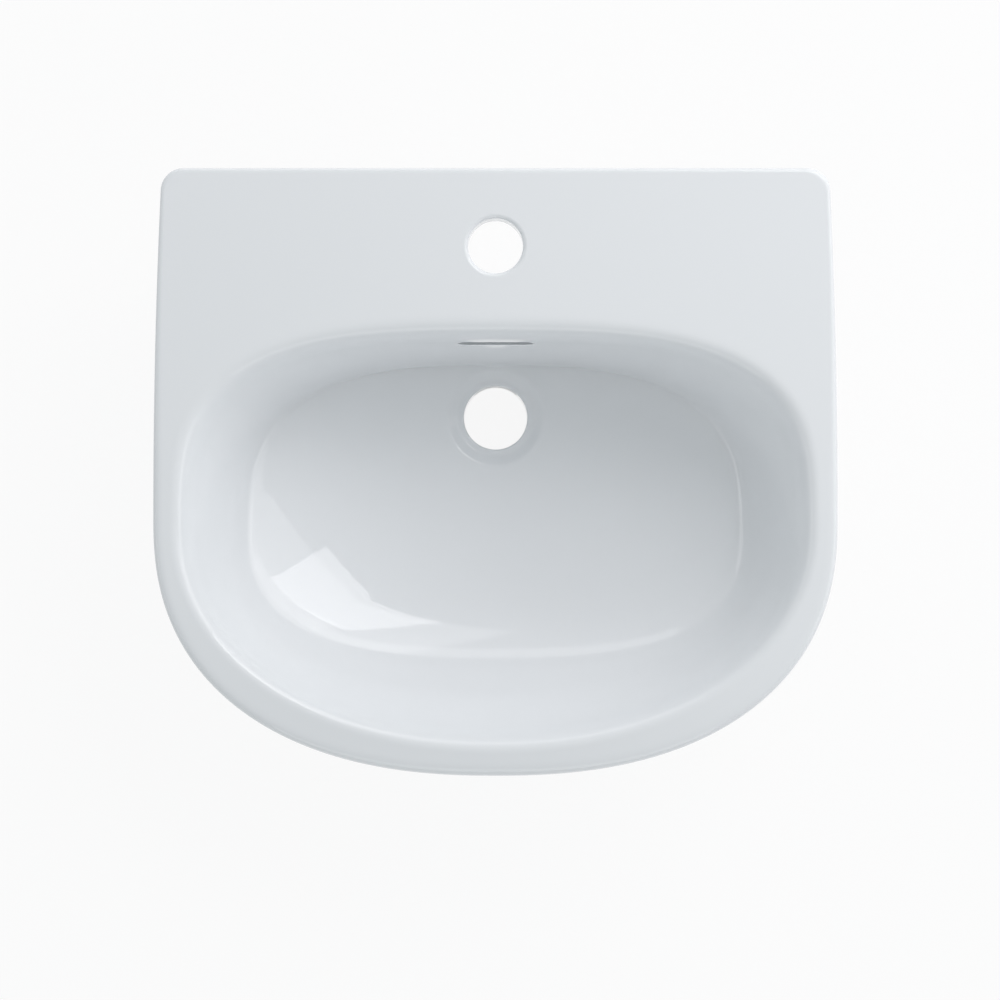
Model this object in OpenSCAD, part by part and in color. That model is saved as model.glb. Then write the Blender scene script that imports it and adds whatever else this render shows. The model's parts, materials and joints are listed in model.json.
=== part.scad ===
// Semi-countertop washbasin in glazed white ceramic, with its two under-worktop clamps.
// Millimetres. X runs across, +Y points at the wall and +Z up. The origin is on the worktop's
// surface (z = 0), on the centre line and at the wall face (y = 0).

/* [Outline] */
// Width across the widest part of the rim
basin_w = 450; // [446:1:456]
// Depth from the wall face to the front of the rim
basin_d = 400; // [396:1:406]
// Width across the straight back edge
back_w = 438; // [434:1:442]
// Radius of the two back corners
corner_r = 15; // [12:1:20]
// Distance from the wall to the widest part
widest_y = 231; // [228:1:236]
// Squareness of the front curve, where 2 is an ellipse
front_power = 2.35; // [2.2:0.05:2.5]

/* [Heights] */
// Height of the deck above the worktop
deck_h = 20; // [19:1:22]
// Distance from the worktop down to the foot
foot_depth = 140; // [139:1:144]
// Distance from the worktop down to the bowl's floor at the waste
waste_depth = 100; // [98:1:102]
// Rise of the bowl's floor from the waste to its sides
floor_rise = 26; // [22:1:28]
// How much lower the rim is at its front outer edge
front_drop = 5; // [3:1:7]

/* [Bowl] */
// Distance from the wall to the bowl's widest part
bowl_y = 236; // [234:1:238]
// Half width of the bowl's mouth
mouth_half_w = 204; // [202:1:206]
// Reach of the mouth from its widest part towards the wall
mouth_rear = 126; // [124:1:128]
// Reach of the mouth from its widest part towards the front
mouth_front = 139; // [137:1:141]
// Half width of the floor, where it meets the wall of the bowl
floor_half_w = 177; // [173:1:179]
// Reach of the floor towards the wall
floor_rear = 112; // [111:0.5:113]
// Reach of the floor towards the front
floor_front = 109; // [105:1:111]
// Thickness of the ceramic wall
wall = 11; // [10:0.5:12]

/* [Holes] */
// Distance from the wall to the tap hole
tap_y = 51; // [48:1:56]
// Radius of the tap hole
tap_r = 18; // [17.5:0.25:18.5]
// Distance from the wall to the waste hole
waste_y = 161; // [160:0.5:162]
// Radius of the waste hole
waste_r = 22.5; // [22:0.25:23]
// Radius of the dish around the waste hole
dish_r = 34; // [33:0.5:34]
// Width of the overflow slot
slot_w = 50; // [44:1:52]
// Height of the overflow slot
slot_h = 8; // [7:0.5:9]
// Depth of the overflow slot's centre below the deck
slot_depth = 32; // [30:1:36]

/* [Worktop] */
// Distance from the wall to the front edge of the worktop
worktop_front = 215; // [213:1:217]
// Half width of the cut-out in the worktop
cutout_half_w = 216; // [216:0.5:218]

/* [Clamps] */
// Distance of each stud from the centre line
stud_x = 180; // [172:1:184]
// Distance of each stud from the wall
stud_y = 50; // [48:1:54]
// Distance from the worktop's surface down to the pads, with the clamps open
open_gap = 42; // [40:1:44]
// Reach of the claw from its stud to the middle of its pad
claw_reach = 38; // [34:1:40]

/* [Hidden] */

glaze = "whitesmoke";
zinc = "silver";
nylon = "ivory";
black_rubber = "dimgray";

// Columns of the ceramic surface in one half of the outline
front_columns = 22;
side_columns = 10;
corner_columns = 5;
back_columns = 12;

// The skirt is at its full height this far from the wall, and gone by the next figure
skirt_full_y = 212;
skirt_none_y = 120;
skirt_low = -20;
back_lean = 1;

// Foot under the bowl
foot_y = 192;
foot_half_w = 104;
foot_half_d = 66;
foot_wide = 11;
ceiling_z = -waste_depth - wall - 1;

// Fall of the floor at the waste, as rise over run, and the rows of points across the floor
floor_fall = 0.02;
floor_rows = 6;

// Dish and outlet at the waste
dish_floor_r = 27;
dish_deep = 4;
outlet_r = 38;
lip = 1.5;
tap_lip = 3;

// The hollow duct takes the overflow down behind the bowl and forward into the waste hole
duct_w = 72;
void_w = 54;
port_w = 30;
void_top = -3;
void_low = -126;
void_gap = 12;
duct_end_y = 151;
duct_low = -137;

// Fixings: an M6 stud in a nylon insert, under each back corner
boss_r = 14;
boss_low = -6;
socket_r = 5;
socket_top = 12;
insert_r = 4.95;
insert_top = 11.5;
insert_flange_r = 8;
insert_flange_h = 2;
stud_r = 3;
stud_top = 10;
stud_low = -80;
insert_bore_r = 3.02;
loose_r = 3.3;
gap = 0.3;
claw_t = 3;
claw_w = 22;
claw_rise = 10;
claw_heel = 13;
pad_t = 2;
pad_long = 15;
washer_r = 9;
washer_t = 1.6;
nut_h = 7;
nut_hub_r = 5.5;

claw_top = -open_gap - pad_t - claw_rise;
washer_top = claw_top - claw_t - gap;
nut_top = washer_top - washer_t - gap;

// Outline of the rim, as seen from above

// Distance from the middle of an oval to its edge in the direction th, with its own reach and
// squareness towards the wall and towards the front
function oval_r(th, half_w, rear, front, rear_power, front_power) =
    let (reach = sin(th) > 0 ? rear : front, p = sin(th) > 0 ? rear_power : front_power)
    pow(pow(abs(cos(th)) / half_w, p) + pow(abs(sin(th)) / reach, p), -1 / p);

function oval(th, half_w, rear, front, rear_power, front_power) =
    [0, -bowl_y] + oval_r(th, half_w, rear, front, rear_power, front_power) * [cos(th), sin(th)];

// Half the width of the rim at a distance v behind its widest part
function side_x(v) = basin_w / 2 - (basin_w - back_w) / 2 * pow(v / widest_y, 2);

side_end = widest_y - corner_r;
corner_x = side_x(side_end) - corner_r;

right_half = [
    for (i = [0 : front_columns - 1])
        let (th = -90 + 90 * i / front_columns)
        [0, -widest_y] + oval_r(th, basin_w / 2, 1, basin_d - widest_y, 2, front_power)
            * [cos(th), sin(th)],
    for (i = [0 : side_columns - 1])
        let (v = side_end * i / side_columns)
        [side_x(v), v - widest_y],
    for (i = [0 : corner_columns - 1])
        let (a = 90 * i / corner_columns)
        [corner_x + corner_r * cos(a), -corner_r + corner_r * sin(a)],
    for (i = [0 : back_columns])
        [corner_x * (1 - i / back_columns), 0],
];
half_count = len(right_half) - 1;
outline = [
    each right_half,
    for (i = [half_count - 1 : -1 : 1]) [-right_half[i][0], right_half[i][1]],
];
column_count = len(outline);

// The surface is a set of columns. Each column runs over the corners of a section, from the
// waste up over the rim and back underneath to the foot, and the corners are rounded.

function ease(t) = let (u = min(1, max(0, t))) u * u * (3 - 2 * u);
function mix(a, b, t) = a + (b - a) * t;
function unit(v) = v / norm(v);

// A value that changes smoothly around the basin, from the rear to the sides to the front
function around(th, rear, side, front) =
    sin(th) > 0 ? mix(side, rear, ease(sin(th))) : mix(side, front, ease(-sin(th)));

function floor_z(p) = -waste_depth + floor_fall * (norm(p - [0, -waste_y]) - dish_r);

// The bowl's surface is lifted so that its floor rises from the waste ever more steeply
function dished(p) =
    let (
        reach = norm([p[0], p[1] + waste_y]),
        lift = floor_rise * max(0, pow(reach, 3) - pow(dish_r, 3)) / pow(floor_half_w, 3),
        depth = (deck_h - p[2]) / (deck_h + waste_depth)
    )
    [p[0], p[1], p[2] + lift * pow(max(0, depth), 2)];
function at_height(p, z) = [p[0], p[1], z];
function outward(p) = unit(p - [0, -bowl_y]);
function foot(th, inset) =
    [0, -foot_y] + oval_r(th, foot_half_w - inset, foot_half_d - inset, foot_half_d - inset, 2.5, 2.5)
        * [cos(th), sin(th)];

// The corners up to the mouth's make the inside of the bowl
mouth_corner = floor_rows + 2;

// One corner: its place, how far its rounding reaches back and on, and its number of points
function corner(place, back, on, points) = [place, back, on, points];

function section(i) =
    let (
        p = outline[i],
        next = outline[(i + 1) % column_count],
        last = outline[(i + column_count - 1) % column_count],
        out = unit([next[1] - last[1], last[0] - next[0]]),
        th = atan2(p[1] + widest_y, p[0]),
        front = ease((skirt_none_y + p[1]) / (skirt_none_y - skirt_full_y)),
        ring = at_height([0, -waste_y] + dish_r * [cos(th), sin(th)], -waste_depth),
        fold = oval(th, floor_half_w, floor_rear, floor_front, 2.75, 2.6),
        wall_foot = at_height(fold, floor_z(fold)),
        back = around(th, 1.5, 26, 34),
        mouth = oval(th, mouth_half_w, mouth_rear, mouth_front, 3.2, 2.1),
        edge_z = deck_h - around(th, 0, 0, front_drop),
        shell = mouth + outward(mouth) * (wall - 2.5),
        heel = fold + outward(fold) * mix(wall, wall + 3, front),
        heel_z = dished(wall_foot)[2] - wall - 1,
        lean = out * back_lean * pow(max(0, out[1]), 2),
        low = mix(at_height(p + lean, 0), at_height(p, skirt_low), front),
        skirt = mix(at_height(p, skirt_low), at_height(heel, heel_z), 0.45)
    )
    [
        for (k = [0 : floor_rows])
            corner(mix(ring, wall_foot + unit(ring - wall_foot) * back, k / (floor_rows + 1)), 0, 0, 1),
        corner(wall_foot, back, around(th, 12, 45, 60), 9),
        corner(at_height(mouth, deck_h), around(th, 28, 26, 24), around(th, 16, 11, 10), 8),
        corner(at_height(p, edge_z), around(th, 5, 9, 12), around(th, 5, 9, 12), 6),
        corner(low, mix(1, 15, front), mix(1, 24, front), 4),
        corner(mix(at_height(shell, 0), skirt, front), mix(3, 5, front), mix(3, 5, front), 3),
        corner(at_height(heel, heel_z), around(th, 12, 20, 34), around(th, 6, 18, 40), 7),
        corner(at_height(foot(th, -2), ceiling_z + 5), 4, 4, 3),
        corner(at_height(foot(th, 0), -foot_depth), 2, 2, 2),
        corner(at_height(foot(th, foot_wide), -foot_depth), 2, 2, 2),
        corner(at_height(foot(th, foot_wide + 2), ceiling_z), 0, 0, 1),
    ];

// A rounded corner as a curve of degree five, so that curvature runs smoothly into both legs
function rounded(last, c, next) =
    let (
        from = c[0] + unit(last - c[0]) * c[1],
        to = c[0] + unit(next - c[0]) * c[2],
        a = mix(from, c[0], 0.4),
        b = mix(from, c[0], 0.8),
        d = mix(to, c[0], 0.8),
        e = mix(to, c[0], 0.4)
    )
    c[3] == 1 ? [c[0]] : [
        for (k = [0 : c[3] - 1])
            let (t = k / (c[3] - 1), s = 1 - t)
            pow(s, 5) * from + 5 * pow(s, 4) * t * a + 10 * pow(s, 3) * t * t * b
                + 10 * s * s * pow(t, 3) * d + 5 * s * pow(t, 4) * e + pow(t, 5) * to
    ];

function column(c) = [
    for (k = [0 : len(c) - 1])
        let (bend = rounded(c[max(k - 1, 0)][0], c[k], c[min(k + 1, len(c) - 1)][0]))
        each k > mouth_corner ? bend : [for (p = bend) dished(p)]
];

module shell() {
    columns = [for (i = [0 : column_count - 1]) column(section(i))];
    rows = len(columns[0]);
    points = [for (c = columns) each c];
    faces = [
        for (i = [0 : column_count - 1])
            let (a = i * rows, b = ((i + 1) % column_count) * rows)
            for (j = [0 : rows - 2])
                each [[a + j, b + j + 1, a + j + 1], [a + j, b + j, b + j + 1]],
        [for (i = [column_count - 1 : -1 : 0]) i * rows],
        [for (i = [0 : column_count - 1]) i * rows + rows - 1],
    ];
    polyhedron(points, faces, convexity = 10);
}

// A flat shape given by points (distance behind the waste line is +Y, height is +Z), as a slab
// of width w across the centre line
module slab(points, w) {
    translate([-w / 2, 0, 0])
        rotate([90, 0, 90])
            linear_extrude(height = w)
                polygon(points);
}

// Place on the back wall of the bowl at the height z
function back_wall_y(z) = -bowl_y + mouth_rear - (mouth_rear - floor_rear)
    * (deck_h - z) / (deck_h + waste_depth);

module duct_block() {
    slab([
        [back_wall_y(4) + 5, 4],
        [back_wall_y(4) + 36, 4],
        [back_wall_y(0) + void_gap * 2 + 9, void_top - 8],
        [back_wall_y(void_low + 10) + void_gap * 2 + 9, void_low - 4],
        [back_wall_y(duct_low) + void_gap * 2 + 3, duct_low],
        [-duct_end_y, duct_low],
        [-duct_end_y, ceiling_z + 4],
        [back_wall_y(-waste_depth) + 5, -waste_depth - 3],
    ], duct_w);
}

module duct_void() {
    top_y = back_wall_y(void_top) + 12;
    low_y = back_wall_y(ceiling_z) + 12;
    slab([
        [top_y, void_top],
        [top_y + void_gap, void_top],
        [low_y + void_gap, void_low],
        [low_y - 6, void_low],
        [low_y - 6, ceiling_z - 2],
        [low_y, ceiling_z - 2],
    ], void_w);
    slab([
        [low_y - 5, void_low],
        [-waste_y + 5, void_low],
        [-waste_y + 5, ceiling_z - 2],
        [low_y - 5, ceiling_z - 2],
    ], port_w);
}

module overflow_slot() {
    translate([0, back_wall_y(0) + 14, deck_h - slot_depth])
        rotate([90, 0, 0])
            linear_extrude(height = 26)
                union() {
                    square([slot_w - slot_h, slot_h], center = true);
                    translate([slot_w / 2 - slot_h / 2, 0])
                        circle(d = slot_h, $fn = 48);
                    translate([slot_h / 2 - slot_w / 2, 0])
                        circle(d = slot_h, $fn = 48);
                }
}

// Dish, rounded edge and bore of the waste hole
module waste_cut() {
    dish_z = -waste_depth - dish_deep;
    slope = (dish_r - 0.5 - dish_floor_r) / dish_deep;
    translate([0, -waste_y, 0])
        rotate_extrude($fn = 96)
            difference() {
                polygon([
                    [0, -foot_depth - 1],
                    [waste_r, -foot_depth - 1],
                    [waste_r, dish_z - lip],
                    [waste_r + lip, dish_z],
                    [dish_floor_r, dish_z],
                    [dish_r - 0.5 + 0.4 * slope, -waste_depth + 0.4],
                    [0, -waste_depth + 0.4],
                ]);
                translate([waste_r + lip, dish_z - lip])
                    circle(r = lip, $fn = 48);
            }
}

module tap_cut() {
    translate([0, -tap_y, 0])
        rotate_extrude($fn = 96)
            difference() {
                polygon([
                    [0, -1],
                    [tap_r, -1],
                    [tap_r, deck_h - tap_lip],
                    [tap_r + tap_lip, deck_h],
                    [tap_r + tap_lip, deck_h + 1],
                    [0, deck_h + 1],
                ]);
                translate([tap_r + tap_lip, deck_h - tap_lip])
                    circle(r = tap_lip, $fn = 48);
            }
}

module basin() {
    color(glaze)
        difference() {
            union() {
                shell();
                duct_block();
                translate([0, -waste_y, -foot_depth])
                    cylinder(r = outlet_r, h = foot_depth + ceiling_z + 4, $fn = 96);
                for (side = [-1, 1])
                    translate([side * stud_x, -stud_y, boss_low])
                        cylinder(r = boss_r, h = 4 - boss_low, $fn = 64);
            }
            // Flat back against the wall
            translate([-basin_w / 2, 0, -1])
                cube([basin_w, 5, deck_h + 5]);
            // Shoulders that take the front edge of the worktop
            for (side = [-1, 1])
                translate([side > 0 ? cutout_half_w : -cutout_half_w - 20, -worktop_front, -60])
                    cube([20, worktop_front - skirt_none_y + 5, 60]);
            duct_void();
            overflow_slot();
            waste_cut();
            tap_cut();
            for (side = [-1, 1])
                translate([side * stud_x, -stud_y, boss_low - 1])
                    cylinder(r = socket_r, h = socket_top - boss_low + 1, $fn = 64);
        }
}

// Fixings. Each is drawn on its own axis and set under the back corner on its side.
module on_side(side) {
    translate([side * stud_x, -stud_y, 0])
        children();
}

module insert() {
    color(nylon)
        difference() {
            union() {
                translate([0, 0, boss_low - insert_flange_h])
                    cylinder(r = insert_flange_r, h = insert_flange_h, $fn = 64);
                translate([0, 0, boss_low - insert_flange_h])
                    cylinder(r = insert_r, h = insert_top - boss_low + insert_flange_h, $fn = 64);
            }
            translate([0, 0, boss_low - insert_flange_h - 1])
                cylinder(r = insert_bore_r, h = insert_top - boss_low + 10, $fn = 64);
        }
}

module stud() {
    color(zinc)
        translate([0, 0, stud_low])
            rotate_extrude($fn = 64)
                polygon([
                    [0, 0],
                    [stud_r - 0.8, 0],
                    [stud_r, 0.8],
                    [stud_r, stud_top - stud_low - 0.8],
                    [stud_r - 0.8, stud_top - stud_low],
                    [0, stud_top - stud_low],
                ]);
}

// Pressed claw: a flat plate on the stud, a step up and a toe under the worktop
module claw() {
    toe_start = claw_reach - pad_long / 2 - 1;
    toe_end = claw_reach + pad_long / 2 + 1;
    color(zinc)
        difference() {
            intersection() {
                translate([-claw_w / 2, 0, 0])
                    rotate([90, 0, 90])
                        linear_extrude(height = claw_w)
                            polygon([
                                [-claw_heel, claw_top - claw_t],
                                [toe_start - 5, claw_top - claw_t],
                                [toe_start + 1, claw_top + claw_rise - claw_t],
                                [toe_end, claw_top + claw_rise - claw_t],
                                [toe_end, claw_top + claw_rise],
                                [toe_start - 1, claw_top + claw_rise],
                                [toe_start - 7, claw_top],
                                [-claw_heel, claw_top],
                            ]);
                translate([0, 0, claw_top - claw_t - 1])
                    linear_extrude(height = claw_rise + claw_t + 2)
                        union() {
                            circle(r = claw_heel, $fn = 64);
                            translate([-claw_w / 2, 0])
                                square([claw_w, toe_end - 4]);
                            translate([4 - claw_w / 2, 0])
                                square([claw_w - 8, toe_end]);
                            for (x = [4 - claw_w / 2, claw_w / 2 - 4])
                                translate([x, toe_end - 4])
                                    circle(r = 4, $fn = 32);
                        }
            }
            translate([0, 0, claw_top - claw_t - 1])
                cylinder(r = loose_r, h = claw_t + 2, $fn = 64);
        }
}

module pad() {
    color(black_rubber)
        translate([0, claw_reach, -open_gap - pad_t])
            linear_extrude(height = pad_t)
                union() {
                    square([claw_w - 4, pad_long - 4], center = true);
                    square([claw_w - 8, pad_long], center = true);
                    for (x = [-1, 1], y = [-1, 1])
                        translate([x * (claw_w / 2 - 4), y * (pad_long / 2 - 2)])
                            circle(r = 2, $fn = 32);
                }
}

module washer() {
    color(zinc)
        translate([0, 0, washer_top - washer_t])
            difference() {
                cylinder(r = washer_r, h = washer_t, $fn = 64);
                translate([0, 0, -1])
                    cylinder(r = loose_r, h = washer_t + 2, $fn = 64);
            }
}

module wing_nut() {
    color(zinc)
        translate([0, 0, nut_top])
            difference() {
                union() {
                    translate([0, 0, -nut_h])
                        cylinder(r1 = nut_hub_r - 1, r2 = nut_hub_r, h = nut_h, $fn = 64);
                    for (turn = [0, 180])
                        rotate([0, 0, turn])
                            translate([0, 1.3, 0])
                                rotate([90, 0, 0])
                                    linear_extrude(height = 2.6)
                                        difference() {
                                            union() {
                                                polygon([
                                                    [4, -1],
                                                    [4, -6],
                                                    [9, -11.5],
                                                    [13, -8.5],
                                                    [9, -1.5],
                                                ]);
                                                translate([10.3, -9.2])
                                                    circle(r = 3.2, $fn = 48);
                                            }
                                            square([3.5, 40], center = true);
                                        }
                }
                translate([0, 0, -nut_h - 1])
                    cylinder(r = loose_r, h = nut_h + 2, $fn = 64);
            }
}

basin();
on_side(-1) insert();  // left_insert
on_side(-1) stud();  // left_stud
on_side(-1) claw();  // left_claw
on_side(-1) pad();  // left_pad
on_side(-1) washer();  // left_washer
on_side(-1) wing_nut();  // left_wing_nut
on_side(1) insert();  // right_insert
on_side(1) stud();  // right_stud
on_side(1) claw();  // right_claw
on_side(1) pad();  // right_pad
on_side(1) washer();  // right_washer
on_side(1) wing_nut();  // right_wing_nut
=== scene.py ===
"""Looks for a semi-countertop washbasin: the glazed ceramic, its two clamps and the studio."""

import json
import math

import bmesh
import bpy
import numpy as np
from bpy.props import FloatProperty, FloatVectorProperty, IntProperty, PointerProperty
from mathutils import Matrix, Vector


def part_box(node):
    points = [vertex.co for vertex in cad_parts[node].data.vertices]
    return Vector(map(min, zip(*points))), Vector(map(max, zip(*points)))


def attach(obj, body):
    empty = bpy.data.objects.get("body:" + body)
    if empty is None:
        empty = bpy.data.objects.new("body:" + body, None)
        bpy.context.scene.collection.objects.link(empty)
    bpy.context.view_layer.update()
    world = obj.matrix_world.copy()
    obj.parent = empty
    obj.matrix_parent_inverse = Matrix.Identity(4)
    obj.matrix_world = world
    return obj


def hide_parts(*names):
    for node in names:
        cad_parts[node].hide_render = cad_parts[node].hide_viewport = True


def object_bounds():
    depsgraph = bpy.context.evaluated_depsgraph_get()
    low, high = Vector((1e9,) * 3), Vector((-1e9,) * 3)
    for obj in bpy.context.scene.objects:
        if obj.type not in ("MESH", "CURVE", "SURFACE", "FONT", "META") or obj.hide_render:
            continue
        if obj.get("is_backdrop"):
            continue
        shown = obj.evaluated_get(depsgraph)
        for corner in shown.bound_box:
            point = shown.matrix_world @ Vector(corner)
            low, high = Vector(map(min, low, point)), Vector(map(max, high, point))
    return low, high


bl_info = {
    "name": "Semi-countertop basin",
    "version": (1, 0, 0),
    "blender": (4, 5, 0),
    "location": "3D Viewport > Sidebar > Basin",
    "description": "Builds a glazed washbasin, its worktop clamps and a plain studio",
    "category": "Object",
}

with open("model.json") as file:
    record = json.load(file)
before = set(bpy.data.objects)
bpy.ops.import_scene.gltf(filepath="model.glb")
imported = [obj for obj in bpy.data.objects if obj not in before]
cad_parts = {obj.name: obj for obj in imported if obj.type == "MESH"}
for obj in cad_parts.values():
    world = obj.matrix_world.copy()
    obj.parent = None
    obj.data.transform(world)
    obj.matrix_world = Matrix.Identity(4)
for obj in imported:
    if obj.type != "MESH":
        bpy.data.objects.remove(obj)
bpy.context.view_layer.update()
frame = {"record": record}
SIDES = ("left", "right")


def record_colour(slot):
    for material in frame["record"]["materials"]:
        if material["slot"] == slot:
            return tuple(material["base_color"][:3])
    raise ValueError(f"the record has no material slot {slot}")


def node_size(node, axis):
    low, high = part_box(node)
    return high[axis] - low[axis]


def length(name, description, default, low=0.0001, high=2.0):
    return FloatProperty(
        name=name, description=description, default=default, min=low, max=high,
        unit="LENGTH", subtype="DISTANCE", precision=4,
    )


def colour(name, description, default):
    return FloatVectorProperty(
        name=name, description=description, default=default, size=3, min=0, max=1,
        subtype="COLOR",
    )


def share(name, description, default):
    return FloatProperty(name=name, description=description, default=default, min=0, max=1,
                         subtype="FACTOR")


class CeramicSettings(bpy.types.PropertyGroup):
    rim_width: length("Rim width", "Across the widest part of the rim", node_size("basin", 0))
    rim_depth: length("Rim depth", "From the wall to the front of the rim", node_size("basin", 1))
    back_width: length("Back width", "Across the straight back edge", 0.438)
    corner_radius: length("Corner radius", "Radius of the two back corners", 0.015)
    widest: length("Widest part", "Distance from the wall to the widest part", 0.231)
    deck_height: length("Deck height", "Height of the deck above the worktop", 0.020)
    foot_depth: length("Foot depth", "From the worktop down to the foot", 0.140)
    floor_depth: length("Floor depth", "From the worktop down to the floor at the waste", 0.100)
    floor_rise: length("Floor rise", "Rise of the bowl's floor from the waste to its sides", 0.026)
    wall: length("Wall", "Thickness of the ceramic", 0.011)
    columns: IntProperty(name="Columns", description="Columns of the surface in half the outline",
                         default=150, min=49, max=400)
    glaze_colour: colour("Glaze", "Colour of the fired glaze", record_colour("white_glaze"))
    clay_colour: colour("Bare clay", "Colour of the clay where no glaze was put on",
                        (0.70, 0.655, 0.575))
    glaze_roughness: share("Glaze roughness", "Roughness of the glaze, where 0 is a mirror", 0.02)


class FixingSettings(bpy.types.PropertyGroup):
    thread_pitch: length("Thread pitch", "Rise of the stud's thread in one turn", 0.001)
    thread_depth: length("Thread depth", "Depth of the stud's thread", 0.00055)
    zinc_colour: colour("Zinc", "Colour of the zinc plate", record_colour("zinc_plate"))
    nylon_colour: colour("Nylon", "Colour of the nylon inserts", record_colour("nylon"))
    rubber_colour: colour("Rubber", "Colour of the rubber pads", record_colour("black_rubber"))


class StudioSettings(bpy.types.PropertyGroup):
    camera_height: length("Camera height", "Height of the camera above the worktop", 1.52)
    focal_length: FloatProperty(name="Lens", description="Focal length of the camera",
                                default=82.5, min=20, max=300, subtype="DISTANCE_CAMERA")
    key_brightness: FloatProperty(name="Key light",
                                  description="Brightness of the key softbox, where 1 is white",
                                  default=2.6, min=0, max=100)
    soft_brightness: FloatProperty(name="Soft lights",
                                   description="Brightness of the broad lights, where 1 is white",
                                   default=1.0, min=0, max=100)
    ambient: share("Ambient light", "Strength of the light from all round", 0.44)
    floor_colour: colour("Floor", "Colour of the plain pale floor", (0.86, 0.86, 0.86))


# Meshes

def new_piece(name, mesh):
    piece = bpy.data.objects.new(name, mesh)
    bpy.context.scene.collection.objects.link(piece)
    return piece


def mesh_of(name, points, faces):
    mesh = bpy.data.meshes.new(name)
    mesh.from_pydata([tuple(p) for p in points], [], [tuple(f) for f in faces])
    mesh.update()
    return mesh


def drop(piece):
    mesh = piece.data
    bpy.data.objects.remove(piece)
    bpy.data.meshes.remove(mesh)


def bake_modifiers(piece):
    """Put what the modifiers make into the piece's own mesh."""
    bpy.context.view_layer.update()
    shape = piece.evaluated_get(bpy.context.evaluated_depsgraph_get())
    mesh = bpy.data.meshes.new_from_object(shape)
    old = piece.data
    piece.modifiers.clear()
    piece.data = mesh
    mesh.name = piece.name
    bpy.data.meshes.remove(old)


def combine(piece, tools, operation):
    """Add tools to a piece, or cut them out of it. The tools mustn't overlap each other."""
    joined = tools[0]
    if len(tools) > 1:
        edit = bmesh.new()
        for tool in tools:
            edit.from_mesh(tool.data)
        mesh = bpy.data.meshes.new("tools")
        edit.to_mesh(mesh)
        edit.free()
        joined = new_piece("tools", mesh)
        for tool in tools:
            drop(tool)
    step = piece.modifiers.new("combine", "BOOLEAN")
    step.operation = operation
    step.object = joined
    step.solver = "EXACT"
    bake_modifiers(piece)
    drop(joined)
    if not piece.data.polygons:
        raise RuntimeError(f"{piece.name} vanished while its solids were combined")


def turned(name, profile, centre=(0, 0, 0), steps=96):
    """A closed solid of revolution. The profile runs from the axis down below to the axis on top."""
    points, faces, rings = [], [], []
    for r, z in profile:
        if r < 1e-7:
            rings.append([len(points)])
            points.append((centre[0], centre[1], centre[2] + z))
            continue
        rings.append(list(range(len(points), len(points) + steps)))
        for k in range(steps):
            a = 2 * math.pi * k / steps
            points.append((centre[0] + r * math.cos(a), centre[1] + r * math.sin(a), centre[2] + z))
    for low, high in zip(rings, rings[1:]):
        for k in range(steps):
            j = (k + 1) % steps
            if len(low) == 1:
                faces.append((low[0], high[j], high[k]))
            elif len(high) == 1:
                faces.append((low[k], low[j], high[0]))
            else:
                faces.append((low[k], low[j], high[j], high[k]))
    return new_piece(name, mesh_of(name, points, faces))


def ring_of(name, profile, centre=(0, 0, 0), steps=96):
    """A closed solid of revolution with a hole. The profile is a closed loop, anticlockwise."""
    points, faces = [], []
    for r, z in profile:
        for k in range(steps):
            a = 2 * math.pi * k / steps
            points.append((centre[0] + r * math.cos(a), centre[1] + r * math.sin(a), centre[2] + z))
    count = len(profile)
    for i in range(count):
        for k in range(steps):
            j = (k + 1) % steps
            low, high = i * steps, (i + 1) % count * steps
            faces.append((low + k, low + j, high + j, high + k))
    return new_piece(name, mesh_of(name, points, faces))


def prism(name, section, low, high, place):
    """A closed prism. The section is anticlockwise, and place(u, v, w) puts a point in space."""
    points = [place(u, v, w) for w in (low, high) for u, v in section]
    count = len(section)
    faces = [tuple(range(count))[::-1], tuple(range(count, 2 * count))]
    faces += [(i, (i + 1) % count, count + (i + 1) % count, count + i) for i in range(count)]
    piece = new_piece(name, mesh_of(name, points, faces))
    face_outwards(piece)
    return piece


def face_outwards(piece):
    edit = bmesh.new()
    edit.from_mesh(piece.data)
    bmesh.ops.recalc_face_normals(edit, faces=edit.faces)
    edit.to_mesh(piece.data)
    edit.free()


def soften_edges(piece, width, segments=3, angle=40):
    """Round the edges that turn by more than an angle."""
    bevel = piece.modifiers.new("rounding", "BEVEL")
    bevel.width = width
    bevel.segments = segments
    bevel.limit_method = "ANGLE"
    bevel.angle_limit = math.radians(angle)
    bevel.harden_normals = False
    bake_modifiers(piece)


def arc(centre, radius, start, end, steps):
    """Points on an arc in a profile, from one angle in degrees to another."""
    return [
        (centre[0] + radius * math.cos(math.radians(a)), centre[1] + radius * math.sin(math.radians(a)))
        for a in np.linspace(start, end, steps)
    ]


def finish_piece(piece, body, node, material, angle=35):
    """Clean a piece, shade it, and set it in the frame in place of its solid."""
    edit = bmesh.new()
    edit.from_mesh(piece.data)
    bmesh.ops.remove_doubles(edit, verts=edit.verts, dist=2e-6)
    bmesh.ops.dissolve_degenerate(edit, edges=edit.edges, dist=2e-6)
    for face in edit.faces:
        face.smooth = True
    edit.to_mesh(piece.data)
    edit.free()
    piece.data.set_sharp_from_angle(angle=math.radians(angle))
    weigh = piece.modifiers.new("weigh", "WEIGHTED_NORMAL")
    weigh.mode = "FACE_AREA"
    weigh.keep_sharp = True
    bake_modifiers(piece)
    piece.data.materials.clear()
    piece.data.materials.append(material)
    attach(piece, body)
    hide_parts(node)


# Node materials

def new_material(name):
    material = bpy.data.materials.new(name)
    material.use_nodes = True
    tree = material.node_tree
    return material, tree, tree.nodes["Principled BSDF"]


def add(tree, kind, **settings):
    node = tree.nodes.new(kind)
    for key, value in settings.items():
        if key.startswith("set_"):
            node.inputs[key[4:].replace("_", " ")].default_value = value
        else:
            setattr(node, key, value)
    return node


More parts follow.
